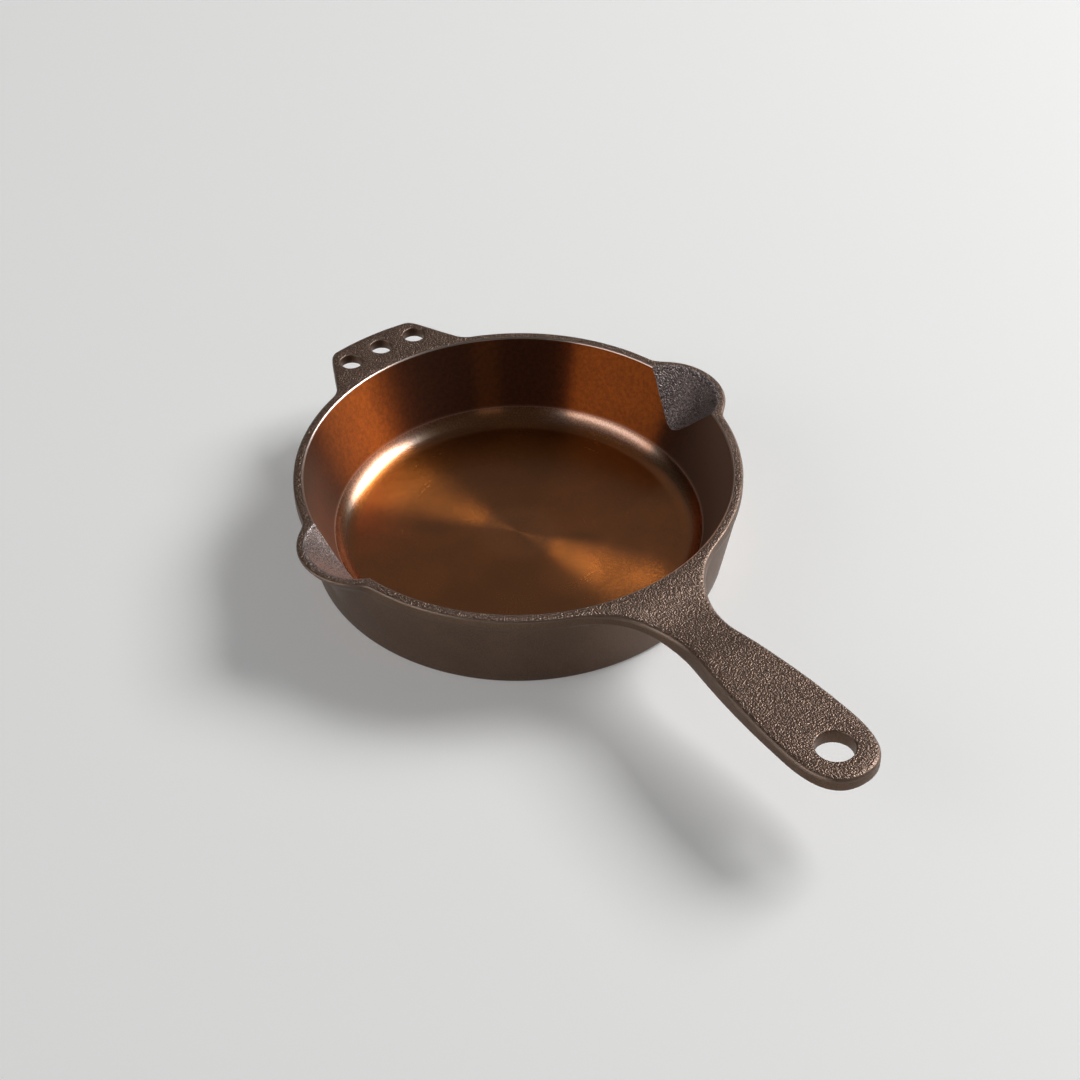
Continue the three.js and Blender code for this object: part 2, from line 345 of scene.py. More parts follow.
def evenly(path, step):
    lengths = [0]
    for a, b in zip(path, path[1:]):
        lengths.append(lengths[-1] + math.dist(a, b))
    count = round(lengths[-1] / step)
    points = []
    k = 0
    for i in range(count + 1):
        want = lengths[-1] * i / count
        while k < len(path) - 2 and lengths[k + 1] < want:
            k += 1
        t = (want - lengths[k]) / (lengths[k + 1] - lengths[k])
        points.append(tuple(mix(path[k][c], path[k + 1][c], t) for c in (0, 1)))
    return points


def handleOutline():
    root = polar(pan["rim"], handleZone, 0)
    run = handle["flareRun"]
    flare = (root[0] + run * math.sin(handleZone), root[1] - run * math.cos(handleZone))
    neckX, neck = handle["neckX"], handle["neckHalf"]
    tip, grip = handle["tip"], handle["gripHalf"]
    gripX = tip - handle["gripInset"]
    swell = gripX - neckX
    steps = handle["curveSteps"]
    side = bezier(root, flare, (neckX - handle["neckRun"], neck), (neckX, neck), steps)
    swellStart = (neckX + swell * handle["swellStart"], neck)
    swellEnd = (gripX - swell * handle["swellEnd"], grip)
    side += bezier((neckX, neck), swellStart, swellEnd, (gripX, grip), steps)
    tipStart = (mix(gripX, tip, handle["tipEase"]), grip)
    side += bezier((gripX, grip), tipStart, (tip, handle["tipFullness"]), (tip, 0), steps)
    mirrored = [(x, -y) for x, y in reversed(side)]
    return evenly(side + [(tip, 0)] + mirrored, handle["step"])


def helperRadius(offset):
    root, tip, edge = helper["rootHalf"], helper["tipHalf"], helper["edge"]
    rootAlong = math.sqrt(pan["rim"] ** 2 - root ** 2)
    tipAlong = math.sqrt(edge ** 2 - tip ** 2)
    nx, ny = root - tip, tipAlong - rootAlong  # normal of the straight side
    side = (nx * rootAlong + ny * root) / max(nx * math.cos(offset) + ny * math.sin(offset), 1e-6)
    tab = smoothMin(edge, side, helper["corner"])
    return smoothMax(pan["rim"], tab, helper["rootBlend"])


def helperOutline():
    steps = helper["curveSteps"]
    path = []
    for i in range(steps + 1):
        offset = mix(-helper["zone"], helper["zone"], i / steps)
        radius = helperRadius(abs(offset))
        path.append((-radius * math.cos(offset), -radius * math.sin(offset)))
    return evenly(path, helper["step"])


def curveEase(x, x0, z0, x1, z1):
    return mix(z0, z1, ease((x - x0) / (x1 - x0)))


def handleTop(x, y):
    low = top - handle["dip"]
    if x < handle["dipX"]:
        return curveEase(x, pan["rim"], top, handle["dipX"], low)
    return curveEase(x, handle["dipX"], low, handle["levelX"], top)


def handleUnder(x, y):
    root, neck = top - handle["rootUnder"], top - handle["neckUnder"]
    if x < handle["neckX"]:
        return curveEase(x, pan["rim"], root, handle["neckX"], neck)
    gripX = handle["tip"] - handle["gripInset"]
    return curveEase(x, handle["neckX"], neck, gripX, top - handle["thickness"])


def helperTop(x, y):
    return top


def helperUnder(x, y):
    return top - helper["thickness"]


edgeSteps = 5  # rows of a rounded edge
edgeTurns = [math.pi / 2 * i / edgeSteps for i in range(edgeSteps + 1)]
sideLevels = (0.25, 0.5, 0.75)  # rows down the straight side, as shares of it
holePoints = 40  # round each hole
topSpacing, underSpacing = 3.0, 4.0  # of the points inside the flat faces of a plate


def roundedTop(edge, high):
    return [(edge * (1 - math.sin(a)), high - edge * (1 - math.cos(a))) for a in edgeTurns]


def collarRows():
    # (distance inside the outline, height) down the plain collar, from land to wall
    rows = roundedTop(pan["outerEdge"], top)
    low = top - pan["collar"]
    high = low + pan["collarBlend"]
    rows += [(0, mix(top - pan["outerEdge"], high, t)) for t in sideLevels]
    for i in range(edgeSteps + 1):
        z = mix(high, low, i / edgeSteps)
        rows.append((pan["rim"] - wallRadius(z), z))
    return rows


def plateRows(topEdge, bottomEdge, high, low):
    rows = roundedTop(topEdge, high)
    rows += [(0, mix(high - topEdge, low + bottomEdge, t)) for t in sideLevels]
    rows += [(bottomEdge * (1 - math.cos(a)), low + bottomEdge * (1 - math.sin(a))) for a in edgeTurns]
    return rows


def holeRings(x, y, plate, topAt, underAt):
    radius, edge = plate["holeRadius"], plate["holeEdge"]
    rings = []
    for k, (inset, z) in enumerate(plateRows(edge, edge, 0, -plate["thickness"])):
        ringRadius = radius + inset - plate["holeWaist"] * (1 - abs(1 + 2 * z / plate["thickness"]))
        ring = []
        for i in range(holePoints):
            a = 2 * math.pi * i / holePoints
            px, py = x + ringRadius * math.cos(a), y + ringRadius * math.sin(a)
            z = plateRows(edge, edge, topAt(px, py), underAt(px, py))[k][1]
            ring.append((px, py, z))
        rings.append(ring)
    return rings


def normalOf(a, b):
    dx, dy = b[0] - a[0], b[1] - a[1]
    size = math.hypot(dx, dy)
    return dy / size, -dx / size  # to the right of the way from a to b


def outlineNormals(path, first, last):
    inner = [normalOf(b, a) for a, b in zip(path, path[2:])]
    return [first] + inner + [last]


growth = 14.0  # length along the outline over which the collar turns into a plate


def buildPlate(name, plate, path, columns, topAt, underAt, holes):
    # path runs clockwise seen from above, from the first column's side of the rim to the last one's
    ends = [(math.cos(columns[k]), math.sin(columns[k])) for k in (0, -1)]
    normals = outlineNormals(path, *ends)
    plain = collarRows()
    edges = plate["topEdge"], plate["bottomEdge"]
    full = plateRows(*edges, 0, 0)
    rows = [[] for _ in plain]
    travelled = 0
    total = sum(math.dist(a, b) for a, b in zip(path, path[1:]))
    for i, ((x, y), (nx, ny)) in enumerate(zip(path, normals)):
        if i:
            travelled += math.dist(path[i - 1], path[i])
        grown = ease(min(travelled, total - travelled) / growth)
        for k, (plainIn, plainZ) in enumerate(plain):
            inset = mix(plainIn, full[k][0], grown)
            px, py = x - inset * nx, y - inset * ny
            plateZ = plateRows(*edges, topAt(px, py), underAt(px, py))[k][1]
            rows[k].append((px, py, mix(plainZ, plateZ, grown)))
    skin.sheet(rows[:edgeSteps + 1], name, roughFinish)
    skin.sheet(rows[edgeSteps:], name, satinFinish)
    rings = [holeRings(x, y, plate, topAt, underAt) for x, y in holes]
    for ring in rings:
        skin.sheet(ring[:edgeSteps + 1], name, roughFinish, closed=True)
        skin.sheet(ring[edgeSteps:], name, satinFinish, closed=True)
    landArc = [polar(landEdge, a, top) for a in columns]
    outline = rows[0] + landArc[-2:0:-1]
    skin.fill(outline, [r[0] for r in rings], topAt, topSpacing, name, roughFinish)
    seat = seatRows(plate, rows[-1], columns, underAt)
    skin.sheet(seat, name, satinFinish)
    outline = rows[-1] + seat[-1][-2:0:-1]
    skin.fill(outline, [r[-1] for r in rings], underAt, underSpacing, name, satinFinish)
    first = [row[0] for row in rows]
    last = [row[-1] for row in rows]
    foot = seat[0]
    closing = [(landArc[i], landArc[i + 1], foot[i + 1], foot[i]) for i in range(len(columns) - 1)]
    closing += [first, last]
    caps[name] += closing
    caps["pan_body"] += closing
    return [p[2] for p in foot]  # heights where the wall meets the fillet, column by column


seatMargin = 0.4  # of the underside, left beyond the fillet
seatShare = 0.6  # most of the underside that the fillet takes
seatGrowth = 6.0  # underside's width at which the fillet has reached the underside's height


def seatRows(plate, underRow, columns, underAt):
    # a fillet between the wall and the underside, which dies out where the plate does
    low = top - pan["collar"]
    base = wallRadius(low)
    rows = [[] for _ in edgeTurns]
    for j, angle in enumerate(columns):
        inner = 0 < j < len(columns) - 1
        room = outlineReach(underRow, angle) - base - seatMargin if inner else 0
        size = min(plate["fillet"], seatShare * max(room, 0))
        share = ease(room / seatGrowth)
        x, y, _ = polar(base + size, angle, 0)
        under = mix(low, underAt(x, y), share)
        wall = wallRadius(min(under - size, low))
        for k, a in enumerate(edgeTurns):
            z = under - size * (1 - math.sin(a))
            radius = wall + (base - wall) * k / edgeSteps + size * (1 - math.cos(a))
            rows[k].append(polar(radius, angle, z))
    return rows


def outlineReach(loop, angle):
    dx, dy = math.cos(angle), math.sin(angle)
    best = 0
    for (x0, y0, *_), (x1, y1, *_) in zip(loop, loop[1:]):
        side0, side1 = dx * y0 - dy * x0, dx * y1 - dy * x1
        if side0 * side1 <= 0 and side0 != side1:
            t = side0 / (side0 - side1)
            along = dx * mix(x0, x1, t) + dy * mix(y0, y1, t)
            if along > 0 and (best == 0 or along < best):
                best = along
    return best


# Columns: angles round the pan, denser where the shape changes
def spread(first, last, step):
    count = max(round(abs(last - first) / step), 1)
    return [mix(first, last, i / count) for i in range(count + 1)]


fine = math.radians(1.5)  # from one column to the next
channelAtRim = channelHalfAngle(top)
sideShares = [i / spout["sideColumns"] for i in range(spout["sideColumns"] + 1)]
channelHalf = spout["channelColumns"]
channelShares = [i / channelHalf for i in range(-channelHalf, channelHalf + 1)]


def spoutColumns(middle, z):
    half = channelHalfAngle(z) if z > pointHeight else 0
    sides = [half + (spout["zone"] - half) * t for t in sideShares]
    left = [middle - a for a in reversed(sides)]
    right = [middle + a for a in sides]
    return left, right  # the two columns nearest the middle bound the channel


quarter = math.pi / 2
handleColumns = spread(handleZone, -handleZone, fine)
helperColumns = spread(-math.pi + helper["zone"], -math.pi - helper["zone"], fine)
print("skillet: outline of the plates")
handleHoles = [(handle["tip"] - handle["holeInset"], 0)]
handlePath = handleOutline()
handleSeat = buildPlate(
    "long_handle", handle, handlePath, handleColumns, handleTop, handleUnder, handleHoles
)
holeStep = helper["holeSpacing"] / helper["holeRow"]
helperHoles = [polar(helper["holeRow"], math.pi + i * holeStep, 0)[:2] for i in (-1, 0, 1)]
helperPath = helperOutline()[::-1]
helperSeat = buildPlate(
    "helper_tab", helper, helperPath, helperColumns, helperTop, helperUnder, helperHoles
)

# Outside of the pan, column by column, counter-clockwise from the handle's +Y side
print("skillet: outside of the pan")
collar = collarRows()
collarLow = top - pan["collar"]
skirt = top - pan["skirt"]
skirtSteps, outerSteps, baseSteps = 4, 8, 6  # rows above the skirt, below it and round the foot
levels = [i / skirtSteps for i in range(1, skirtSteps + 1)]
baseArc = filletArc(footRadius, 0, outerSlope, pan["baseEdge"], baseSteps)
wallLevels = [mix(skirt, baseArc[-1][1], i / outerSteps) for i in range(1, outerSteps + 1)]
baseRings = (0.97, 0.85, 0.65, 0.4, 0.15)  # shares of the underside's radius


def lowerColumn(angle, start):
    heights = [mix(start, skirt, t) for t in levels] + wallLevels
    points = [(bodyRadius(angle, z), z) for z in heights]
    points += [(r + bodyRadius(angle, z) - wallRadius(z), z) for r, z in reversed(baseArc[:-1])]
    flat = baseArc[0][0]
    points += [(flat * share, 0) for share in baseRings]
    return [polar(r, angle, z) for r, z in points]


def bodyNormal(angle):
    small = 1e-3
    sides = [polar(bodyRadius(a, top), a, 0) for a in (angle - small, angle + small)]
    return normalOf(*sides)


def upperColumn(angle):
    nx, ny = bodyNormal(angle)
    points = []
    for k, (inset, z) in enumerate(collar):
        x, y, _ = polar(bodyRadius(angle, z), angle, 0)
        draw = inset if k < edgeSteps else 0  # only the rounding is drawn in along the outline's normal
        points.append((x - draw * nx, y - draw * ny, z))
    return points


def openColumns(first, last):
    # columns of a stretch of rim that ends at the two plates and holds one spout
    middle = quarter if first > 0 else -quarter
    left, right = spoutColumns(middle, top)
    channel = [middle + channelAtRim * t for t in channelShares[1:-1]]
    before = spread(first, left[0], fine)[:-1]
    after = spread(right[-1], last, fine)[1:]
    return before, left, channel, right, after


rightStretch = openColumns(handleZone, math.pi - helper["zone"])
leftStretch = openColumns(-math.pi + helper["zone"], -handleZone)
stretches = [[a for part in s for a in part] for s in (rightStretch, leftStretch)]
lower = []
for angles in stretches:
    upper = [upperColumn(a) for a in angles]
    rows = list(zip(*upper))
    skin.sheet(rows[:edgeSteps + 1], "pan_body", roughFinish)
    skin.sheet(rows[edgeSteps:], "pan_body", satinFinish)
for angles, seat in (
    (stretches[0], None),
    (helperColumns[::-1], helperSeat[::-1]),
    (stretches[1], None),
    (handleColumns[::-1], handleSeat[::-1]),
):
    for i, angle in enumerate(angles[:-1]):
        start = seat[i] if seat else collarLow
        first = polar(bodyRadius(angle, start), angle, start)
        lower.append([first] + lowerColumn(angle, start))
lowerRows = list(zip(*lower))
skin.sheet(lowerRows, "pan_body", satinFinish, closed=True)
skin.fan(lowerRows[-1], (0, 0, 0), "pan_body", satinFinish)

# Inside of the pan: floor, cove, wall and the two channels
print("skillet: inside of the pan")
coveSteps, lowSteps, wallSteps = 12, 4, 22  # rows of the cove, then below and beside the channels
wallGather = 1.6  # how much the rows gather towards the channels' points
coveArc = filletArc(innerFoot, pan["floor"], innerSlope, pan["cove"], coveSteps)
coveTop = coveArc[-1][1]
floorRings = (0.04, 0.1, 0.2, 0.35, 0.5, 0.65, 0.8, 0.92)  # shares of the flat floor's radius
edgeLevels = (1.0, 0.7, 0.45, 0.3, 0.18, 0.08, 0.02, 0)  # depths of the last rows under the rim
lowLevels = [mix(coveTop, pointHeight, i / lowSteps) for i in range(1, lowSteps + 1)]
gathered = [(i / wallSteps) ** wallGather for i in range(1, wallSteps + 1)]
channelLevels = [mix(pointHeight, top - edgeLevels[0], t) for t in gathered]
rimLevels = [top - d for d in edgeLevels[1:]]


def polishedRadius(z):
    return innerRadius(z) + rounding(pan["innerEdge"], top - z)


def insideColumns(z):
    # every polished column at this height, split at the two channels
    parts = []
    for before, _, _, _, after in (rightStretch, leftStretch):
        middle = quarter if before[0] > 0 else -quarter
        left, right = spoutColumns(middle, z)
        parts.append((before + left, right + after))
    helperPart = helperColumns[::-1]
    handlePart = handleColumns[::-1]
    return parts[0][1] + helperPart[1:-1] + parts[1][0], parts[1][1] + handlePart[1:-1] + parts[0][0]


bowl = [(pan["floor"], coveArc[0][0] * share) for share in floorRings]
bowl += [(z, r) for r, z in coveArc]
bowl += [(z, polishedRadius(z)) for z in lowLevels]
ring = []
for z, radius in bowl:
    rear, front = insideColumns(z)
    ring.append([polar(radius, a, z) for a in rear[:-1] + front[:-1]])
skin.sheet(ring, "pan_body", polishedFinish, closed=True)
skin.fan(ring[0], (0, 0, pan["floor"]), "pan_body", polishedFinish)
upperLevels = [lowLevels[-1]] + channelLevels + rimLevels
for side in (0, 1):
    rows = [[polar(polishedRadius(z), a, z) for a in insideColumns(z)[side]] for z in upperLevels]
    skin.sheet(rows, "pan_body", polishedFinish)


def channelPoint(middle, share, z):
    centre, radius = channelCircle(z)
    offset = share * channelHalfAngle(z)
    edge = mix(spout["edge"], pan["innerEdge"], abs(share) ** 3)  # tighter towards the corners
    r = circleReach(centre, radius, offset) + rounding(edge, top - z)
    if abs(share) == 1:
        r = polishedRadius(z)
    return polar(r, middle + offset, z)


for middle in (quarter, -quarter):
    rows = [[channelPoint(middle, t, z) for t in channelShares] for z in channelLevels + rimLevels]
    tip = polar(polishedRadius(pointHeight), middle, pointHeight)
    skin.sheet([[tip] * len(channelShares)] + rows, "pan_body", channelFinish)


# Land on top of the rim, from the inner edge to the start of the outer rounding
def landInner(angle):
    offset = spoutOffset(angle)
    if offset < channelAtRim - 1e-9:
        middle = quarter if angle > 0 else -quarter
        return channelPoint(middle, (angle - middle) / channelAtRim, top)
    return polar(polishedRadius(top), angle, top)


for angles in stretches:
    rows = [[landInner(a) for a in angles], [upperColumn(a)[0] for a in angles]]
    skin.sheet(rows, "pan_body", roughFinish)
for angles in (helperColumns, handleColumns):
    rows = [[landInner(a) for a in angles], [polar(landEdge, a, top) for a in angles]]
    skin.sheet(rows, "pan_body", roughFinish)


# Pieces: one smooth set of normals for the whole casting, then a closed mesh for each piece
def newMesh(name, points, faces):
    mesh = bpy.data.meshes.new(name)
    mesh.from_pydata([[c * mm for c in p] for p in points], [], faces)
    return mesh


def faceOutwards(mesh):
    work = bmesh.new()
    work.from_mesh(mesh)
    bmesh.ops.recalc_face_normals(work, faces=work.faces[:])
    loose = sum(1 for e in work.edges if len(e.link_faces) != 2)
    work.to_mesh(mesh)
    work.free()
    return loose


creaseAngle = math.radians(38)
finishCrease = math.radians(10)  # even a slight crease at the edge of the polish is kept sharp


def castingNormals():
    mesh = newMesh("casting", skin.points, [f[0] for f in skin.faces])
    loose = faceOutwards(mesh)
    print("skillet: casting has", len(mesh.polygons), "faces and", loose, "open edges")
    work = bmesh.new()
    work.from_mesh(mesh)
    work.faces.ensure_lookup_table()
    for edge in work.edges:
        polished = [skin.faces[f.index][2] == polishedFinish for f in edge.link_faces]
        if len(polished) == 2:
            limit = finishCrease if polished[0] != polished[1] else creaseAngle
            edge.smooth = edge.calc_face_angle(0) < limit
    for face in work.faces:
        face.smooth = True
    work.to_mesh(mesh)
    work.free()
    rings = []
    for polygon in mesh.polygons:
        loops = polygon.loop_indices
        rings.append({mesh.loops[i].vertex_index: tuple(mesh.corner_normals[i].vector) for i in loops})
    order = [list(p.vertices) for p in mesh.polygons]
    bpy.data.meshes.remove(mesh)
    return order, rings


faceOrder, cornerNormals = castingNormals()


def makePiece(name):
    chosen = [i for i, f in enumerate(skin.faces) if f[1] == name]
    faces = [faceOrder[i] for i in chosen] + [skin.numbers(c) for c in caps[name]]
    used = sorted({n for f in faces for n in f})
    place = {n: i for i, n in enumerate(used)}
    mesh = newMesh(name, [skin.points[n] for n in used], [[place[n] for n in f] for f in faces])
    loose = faceOutwards(mesh)
    mesh.polygons.foreach_set("use_smooth", [True] * len(mesh.polygons))
    finishes = [skin.faces[i][2] for i in chosen] + [satinFinish] * len(caps[name])
    mesh.polygons.foreach_set("material_index", finishes)
    normals = []
    for k, polygon in enumerate(mesh.polygons):
        for v in polygon.vertices:
            known = cornerNormals[chosen[k]] if k < len(chosen) else None
            normals.append(known[used[v]] if known else tuple(polygon.normal))
    mesh.normals_split_custom_set(normals)
    piece = bpy.data.objects.new(name, mesh)
    bpy.context.collection.objects.link(piece)
    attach(piece, "root")
    print("skillet:", name, len(mesh.polygons), "faces,", loose, "open edges")
    return piece


panPiece = makePiece("pan_body")
handlePiece = makePiece("long_handle")
helperPiece = makePiece("helper_tab")
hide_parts("pan_base", "front_wall", "rear_wall", "left_pour_spout", "right_pour_spout")
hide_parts("handle")
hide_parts("helper_handle")


# Materials: a Wire is one output of a node, and arithmetic on it adds Math nodes
class Wire:
    def __init__(self, tree, socket=None):
        self.tree = tree
        self.socket = socket

    def node(self, kind, settings, sockets, output=0):
        made = self.tree.nodes.new(kind)
        for name, value in settings.items():
            setattr(made, name, value)
        for name, value in sockets.items():
            socket = pick(made.inputs, name)
            if isinstance(value, Wire):
                self.tree.links.new(value.socket, socket)
            else:
                socket.default_value = value
        return Wire(self.tree, pick(made.outputs, output))

    def maths(self, operation, *values):
        return self.node("ShaderNodeMath", {"operation": operation}, dict(enumerate(values)))

    def __add__(self, other):
        return self.maths("ADD", self, other)

    def __sub__(self, other):
        return self.maths("SUBTRACT", self, other)

    def __rsub__(self, other):
        return self.maths("SUBTRACT", other, self)

    def __mul__(self, other):
        return self.maths("MULTIPLY", self, other)

    __radd__, __rmul__ = __add__, __mul__

    def between(self, low, high):
        sockets = {"Value": self, "From Min": low, "From Max": high}
        return self.node("ShaderNodeMapRange", {"interpolation_type": "SMOOTHSTEP"}, sockets)

    def around(self, half):
        return self.between(0.5 - half, 0.5 + half)  # stretches the middle of a noise


def pick(sockets, key):
    if isinstance(key, int):
        return sockets[key]
    return next(s for s in sockets if s.name == key and s.enabled)


def startMaterial(name):
    material = bpy.data.materials.new(name)
    material.use_nodes = True
    tree = material.node_tree
    return material, tree.nodes["Principled BSDF"], Wire(tree)


def connect(shader, **values):
    for name, value in values.items():
        socket = shader.inputs[name.replace("_", " ")]
        if isinstance(value, Wire):
            value.tree.links.new(value.socket, socket)
        else:
            socket.default_value = value


def layOver(start, shader, share, over):
    layers = {0: share, 1: Wire(start.tree, shader.outputs[0]), 2: over}
    mixed = start.node("ShaderNodeMixShader", {}, layers)
    start.tree.links.new(mixed.socket, start.tree.nodes["Material Output"].inputs["Surface"])


def vectorMaths(start, operation, *values, output="Value"):
    return start.node("ShaderNodeVectorMath", {"operation": operation}, dict(enumerate(values)), output)


def noiseAt(start, place, size, detail=2.0, roughness=0.5):
    # size is the distance in millimetres from one blob to the next
    sockets = {"Vector": place, "Scale": 1 / (size * mm), "Detail": detail, "Roughness": roughness}
    return start.node("ShaderNodeTexNoise", {}, sockets, "Fac")


def blendColours(start, share, low, high):
    sockets = {"Factor": share, "A": low, "B": high}
    return start.node("ShaderNodeMix", {"data_type": "RGBA"}, sockets, "Result")


def bumped(start, height, distance):
    sockets = {"Height": height, "Distance": distance * mm, "Strength": 1.0}
    return start.node("ShaderNodeBump", {}, sockets, "Normal")


castIron = {
    "grain": 0.66,  # size of the cast grain on top faces
    "grainDepth": 0.17,
    "fineGrain": 0.4,  # size of the finer grain, which the sides show too
    "fineDepth": 0.04,
    "fineShare": 0.12,  # how much of it is laid over the cast grain
    "soft": 0.2,  # how softly low and high places pass into each other
    "fineSoft": 0.75,  # the same for the finer grain, as a share of it
    "channelDepth": 0.24,  # the grain is deeper and crisper in the channels
    "channelSoft": 0.09,
    "fadeFrom": 0.72,  # the cast grain shows on faces that look up and fades over the edges
    "fadeTo": 0.95,
    "patch": 11.0,  # size of the uneven patches on top faces and on the sides
    "sidePatch": 16.0,
    "pitShade": (0.024, 0.0135, 0.0085, 1),  # colour of the low places, darkened partly as painted shade in the grain's pits
    "peak": (0.215, 0.122, 0.077, 1),  # colour of the high places
    "channel": (0.285, 0.222, 0.208, 1),  # colour of the high places in the channels
    "grainTone": 0.5,  # how much grain, finer grain and patches each change the colour
    "fineTone": 0.35,
    "patchTone": 0.15,
    "side": (0.165, 0.1, 0.064, 1),
    "sideDark": (0.095, 0.056, 0.036, 1),
    "sideFineTone": 0.6,
    "sidePatchTone": 0.3,
    "metallic": 0.52,
    "sideMetallic": 0.75,
    "roughness": 0.33,  # of the high places
    "pitRoughness": 0.1,  # added in the low ones
    "sideRoughness": 0.4,
    "patchRoughness": 0.16,  # added by the patches on the sides
    "ior": 1.72,
}


def makeRoughIron(name, peak, grainDepth, soft, fades):
    material, shader, start = startMaterial(name)
    place = start.node("ShaderNodeTexCoord", {}, {}, "Object")
    grain = noiseAt(start, place, castIron["grain"], detail=1.0)
    patches = noiseAt(start, place, castIron["patch"], detail=3.0)
    facing = start.node("ShaderNodeNewGeometry", {}, {}, "Normal")
    upward = start.node("ShaderNodeSeparateXYZ", {}, {"Vector": facing}, "Z")
    amount = upward.between(castIron["fadeFrom"], castIron["fadeTo"]) if fades else 1.0
    height = grain.around(soft)
    speck = noiseAt(start, place, castIron["fineGrain"], detail=1.0)
    relief = height * amount + speck * castIron["fineShare"]
    fineTone = speck.around(soft * castIron["fineSoft"]) * castIron["fineTone"]
    shade = height * castIron["grainTone"] + fineTone + patches * castIron["patchTone"]
    tone = blendColours(start, shade, castIron["pitShade"], peak)
    smooth = blendColours(start, patches, castIron["sideDark"], castIron["side"])
    connect(
        shader,
        Base_Color=blendColours(start, amount, smooth, tone) if fades else tone,
        Roughness=castIron["roughness"] + castIron["pitRoughness"] * (1 - height * amount),
        Metallic=castIron["metallic"],
        IOR=castIron["ior"],
        Normal=bumped(start, relief, grainDepth),
    )
    return material


def makeSatinIron(name):
    material, shader, start = startMaterial(name)
    place = start.node("ShaderNodeTexCoord", {}, {}, "Object")
    speck = noiseAt(start, place, castIron["fineGrain"], detail=2.0, roughness=0.6)
    patches = noiseAt(start, place, castIron["sidePatch"], detail=3.0, roughness=0.55)
    patchTone = patches.around(castIron["soft"]) * castIron["sidePatchTone"]
    tone = patchTone + speck.around(castIron["soft"] * castIron["fineSoft"]) * castIron["sideFineTone"]
    connect(
        shader,
        Base_Color=blendColours(start, tone, castIron["sideDark"], castIron["side"]),
        Roughness=castIron["sideRoughness"] + castIron["patchRoughness"] * patches,
        Metallic=castIron["sideMetallic"],
        Normal=bumped(start, speck, castIron["fineDepth"]),
    )
    return material


# Spots are (radius, angle in degrees, distances from there where they start to fade and where they end)
polish = {
    "floorDark": (0.215, 0.062, 0.009, 1),
    "floorLight": (0.41, 0.12, 0.019, 1),
    "patch": 22.0,  # size of the uneven patches on the floor
    "patchTone": 0.35,  # how much patches, grain and turning marks each change its colour
    "grainTone": 0.35,
    "ringTone": 0.3,
    "soft": 0.2,  # how softly low and high places pass into each other
    "wallSoft": 0.14,  # the same for the wall's grain and for the pits
    "pitSoft": 0.08,
    "wedgeDimmingSpots": ((34, 210, 8, 19), (25, 35, 4, 12), (41, 31, 4, 13)),  # floor painted darker where the reflected wedges show too bright, a painted shade
    "wedgeBrighteningSpots": ((30, 4, 5, 15),),  # floor painted lighter where a reflected wedge should reach, a painted highlight
    "wedgeBrighteningShare": 0.4,
    "cove": (0.22, 0.066, 0.011, 1),
    "nearCoveShade": (0.09, 0.036, 0.013, 1),  # of the cove towards the camera, painted darker to dim its reflections there, a painted shade
    "wallDark": (0.105, 0.023, 0.0022, 1),
    "wallLight": (0.2, 0.045, 0.0043, 1),
    "blotch": 1.7,  # size of the uneven patches on the wall
    "blotchTone": 0.7,
    "wallGrainTone": 0.3,
    "wallFrom": pan["floor"] + 4.5,  # heights where the floor's finish gives way to the wall's
    "wallTo": pan["floor"] + 7.0,
    "glossy": 0.23,  # roughness of the polished peaks
    "matt": 0.265,  # roughness of the pits between them
    "wall": 0.33,  # roughness of the wall
    "hubGloss": 0.16,  # roughness of the middle of the floor, which is turned finer
    "hubFrom": 10.5,  # radii between which the middle ends
    "hubTo": 18.75,
    "uneven": 0.04,  # how much turning marks and patches change the roughness
    "anisotropy": 1.0,
    "turnAcross": 0.25,  # gloss spreads across the turning marks
    "ringStep": 0.8,  # spacing of the turning marks
    "grain": 0.6,
    "grainDepth": 0.0015,
    "wallGrain": 0.3,  # how much of that depth the wall has
    "film": (0.95, 0.86, 0.72, 1),  # a thin film of oil on the metal
    "filmRoughness": 0.2,
    "filmSpread": 0.11,  # how much rougher it is in the cove
    "filmAnisotropy": 0.6,
    "filmHub": 0.06,  # how much of it shows in the middle, on the floor, in the cove and at the rim
    "filmFloor": 0.048,
    "filmCove": 0.1,
    "filmEdge": 0.42,
    "filmUneven": 0.4,  # how much the grain breaks it up in the cove
    "coveFrom": pan["floor"] + 0.2,  # heights between which it passes into that of the cove
    "coveTo": pan["floor"] + 2.0,
    "edgeFrom": top - 0.7,  # heights between which the rounding at the rim starts to shine
    "edgeTo": top - 0.35,
    "coveFilm": (0.95, 0.64, 0.42, 1),  # browner in the cove, where the oil gathers
    "edgeAndHighlightFilm": (0.95, 0.84, 0.76, 1),  # paler at the rim's shining rounding, and at the spots where the two cove highlights fall, whitening them as a painted highlight
    # spots set where the cove's two highlights fall, a painted highlight: a paler, stronger film there
    # whitens them
    "highlightSpots": ((67, 200, 14, 34), (67, 112, 14, 34)),
    "highlightSpotShare": 0.09,
    "haze": (0.14, 0.088, 0.062, 1),  # dull brown that veils the wall
    "hazeWall": 0.24,
    "hazeNear": 0.55,  # on the handle's side, which is duller
    "nearTowards": math.radians(-25),  # its direction, then how far that way it starts and is full
    "nearFrom": -37.0,
    "nearTo": -15.0,
    "hazeRight": 0.3,  # added between the right spout and the handle, where the wall is paler
    "hazePale": (0.24, 0.155, 0.108, 1),
    "paleFrom": 6.0,  # heights between which it gets paler
    "paleTo": 38.0,
    "rightTowards": math.radians(42),
    "rightFrom": 50.0,
    "rightTo": 72.0,
    "line": (0.42, 0.32, 0.29, 1),  # fine line where cove and wall meet: a paler finish that also stands in as a painted highlight of the crease
    "lineWidth": 0.3,
    "lineShare": 0.3,
    "lineNear": 0.6,  # on the handle's side
}


